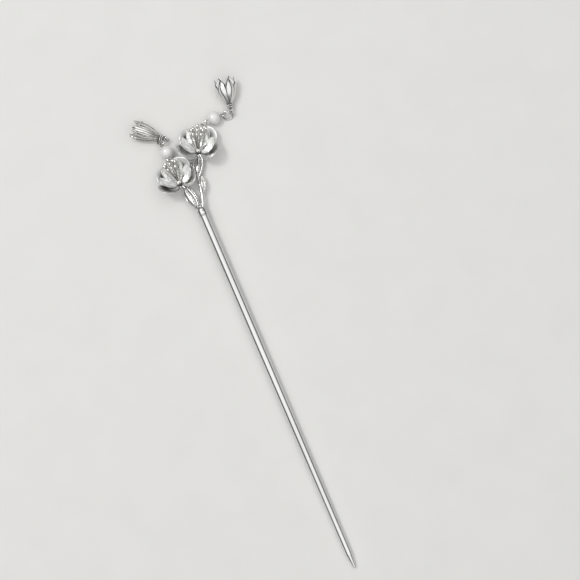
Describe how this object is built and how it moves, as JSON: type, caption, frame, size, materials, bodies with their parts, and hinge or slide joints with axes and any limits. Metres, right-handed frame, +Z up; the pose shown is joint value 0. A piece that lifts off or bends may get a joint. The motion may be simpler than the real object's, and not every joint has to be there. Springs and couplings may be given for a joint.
{
  "type": "hair pin",
  "caption": "Straight tapered hair pin with a sprig of cup flowers at its head and hanging charms of a pearl, a ring and a tulip bud.",
  "frame": {"origin": "on the table, under the middle of the whole pin's length and width as it lies on its back", "axes": "+Y along the pin, from the shaft's point towards the flowers; +Z up from the table, towards the open side of the flowers; +X to the right-hand flower, seen from above"},
  "size_m": [0.0448, 0.1918, 0.0117],
  "materials": {
    "shaft_silver": "bright silver-plated steel, polished lengthwise",
    "cast_silver": "polished cast silver plating",
    "petal_silver": "polished silver plating outside, satin inside the cup",
    "wire_silver": "bright silver-plated wire",
    "pearl": "white pearl lustre, glossy"
  },
  "bodies": {
    "pin": {"pin_shaft": "shaft_silver", "socket_collar": "cast_silver", "solder_bead": "cast_silver", "left_sprig": "cast_silver", "right_sprig": "cast_silver", "wire_tendril": "wire_silver", "left_outer_petals": "petal_silver", "left_inner_petals": "petal_silver", "left_stamens": "cast_silver", "left_eyelet": "wire_silver", "right_outer_petals": "petal_silver", "right_inner_petals": "petal_silver", "right_stamens": "cast_silver", "right_eyelet": "wire_silver"},
    "left_pearl_wire": {"left_pearl_wire": "wire_silver"},
    "left_pearl": {"left_pearl": "pearl"},
    "left_jump_ring": {"left_jump_ring": "wire_silver"},
    "left_tulip": {"left_tulip_cap": "cast_silver", "left_tulip_bud": "petal_silver"},
    "right_pearl_wire": {"right_pearl_wire": "wire_silver"},
    "right_pearl": {"right_pearl": "pearl"},
    "right_jump_ring": {"right_jump_ring": "wire_silver"},
    "right_tulip": {"right_tulip_cap": "cast_silver", "right_tulip_bud": "petal_silver"}
  },
  "joints": [
    {"name": "left_charm_swing", "type": "hinge", "parent": "pin", "child": "left_pearl_wire", "pos_m": [-0.0116, 0.07315, 0.0015], "axis": [0.9894, -0.1338, -0.0571], "range_deg": [-90, 5]},
    {"name": "left_pearl_spin", "type": "hinge", "parent": "left_pearl_wire", "child": "left_pearl", "pos_m": [-0.012, 0.0776, 0.0026], "axis": [-0.2397, 0.969, -0.0599], "continuous": true},
    {"name": "left_ring_turn", "type": "hinge", "parent": "left_pearl_wire", "child": "left_jump_ring", "pos_m": [-0.01293, 0.08136, 0.00237], "axis": [0.8279, 0.2363, 0.5087], "range_deg": [-60, 75]},
    {"name": "left_tulip_swing", "type": "hinge", "parent": "left_jump_ring", "child": "left_tulip", "pos_m": [-0.01018, 0.08236, 0.00232], "axis": [0.5224, 0.6882, -0.5035], "range_deg": [-10, 60]},
    {"name": "right_charm_swing", "type": "hinge", "parent": "pin", "child": "right_pearl_wire", "pos_m": [0.00435, 0.0813, 0.0031], "axis": [-0.5058, 0.7523, -0.4222], "range_deg": [-80, 10]},
    {"name": "right_pearl_spin", "type": "hinge", "parent": "right_pearl_wire", "child": "right_pearl", "pos_m": [0.00985, 0.0828, 0.0026], "axis": [0.9971, -0.03, -0.07], "continuous": true},
    {"name": "right_ring_turn", "type": "hinge", "parent": "right_pearl_wire", "child": "right_jump_ring", "pos_m": [0.01372, 0.08268, 0.00233], "axis": [0.0703, 0.7164, 0.6942], "range_deg": [-90, 90]},
    {"name": "right_tulip_swing", "type": "hinge", "parent": "right_jump_ring", "child": "right_tulip", "pos_m": [0.01702, 0.08258, 0.00231], "axis": [0.7681, -0.0794, -0.6354], "range_deg": [-90, 90]}
  ]
}
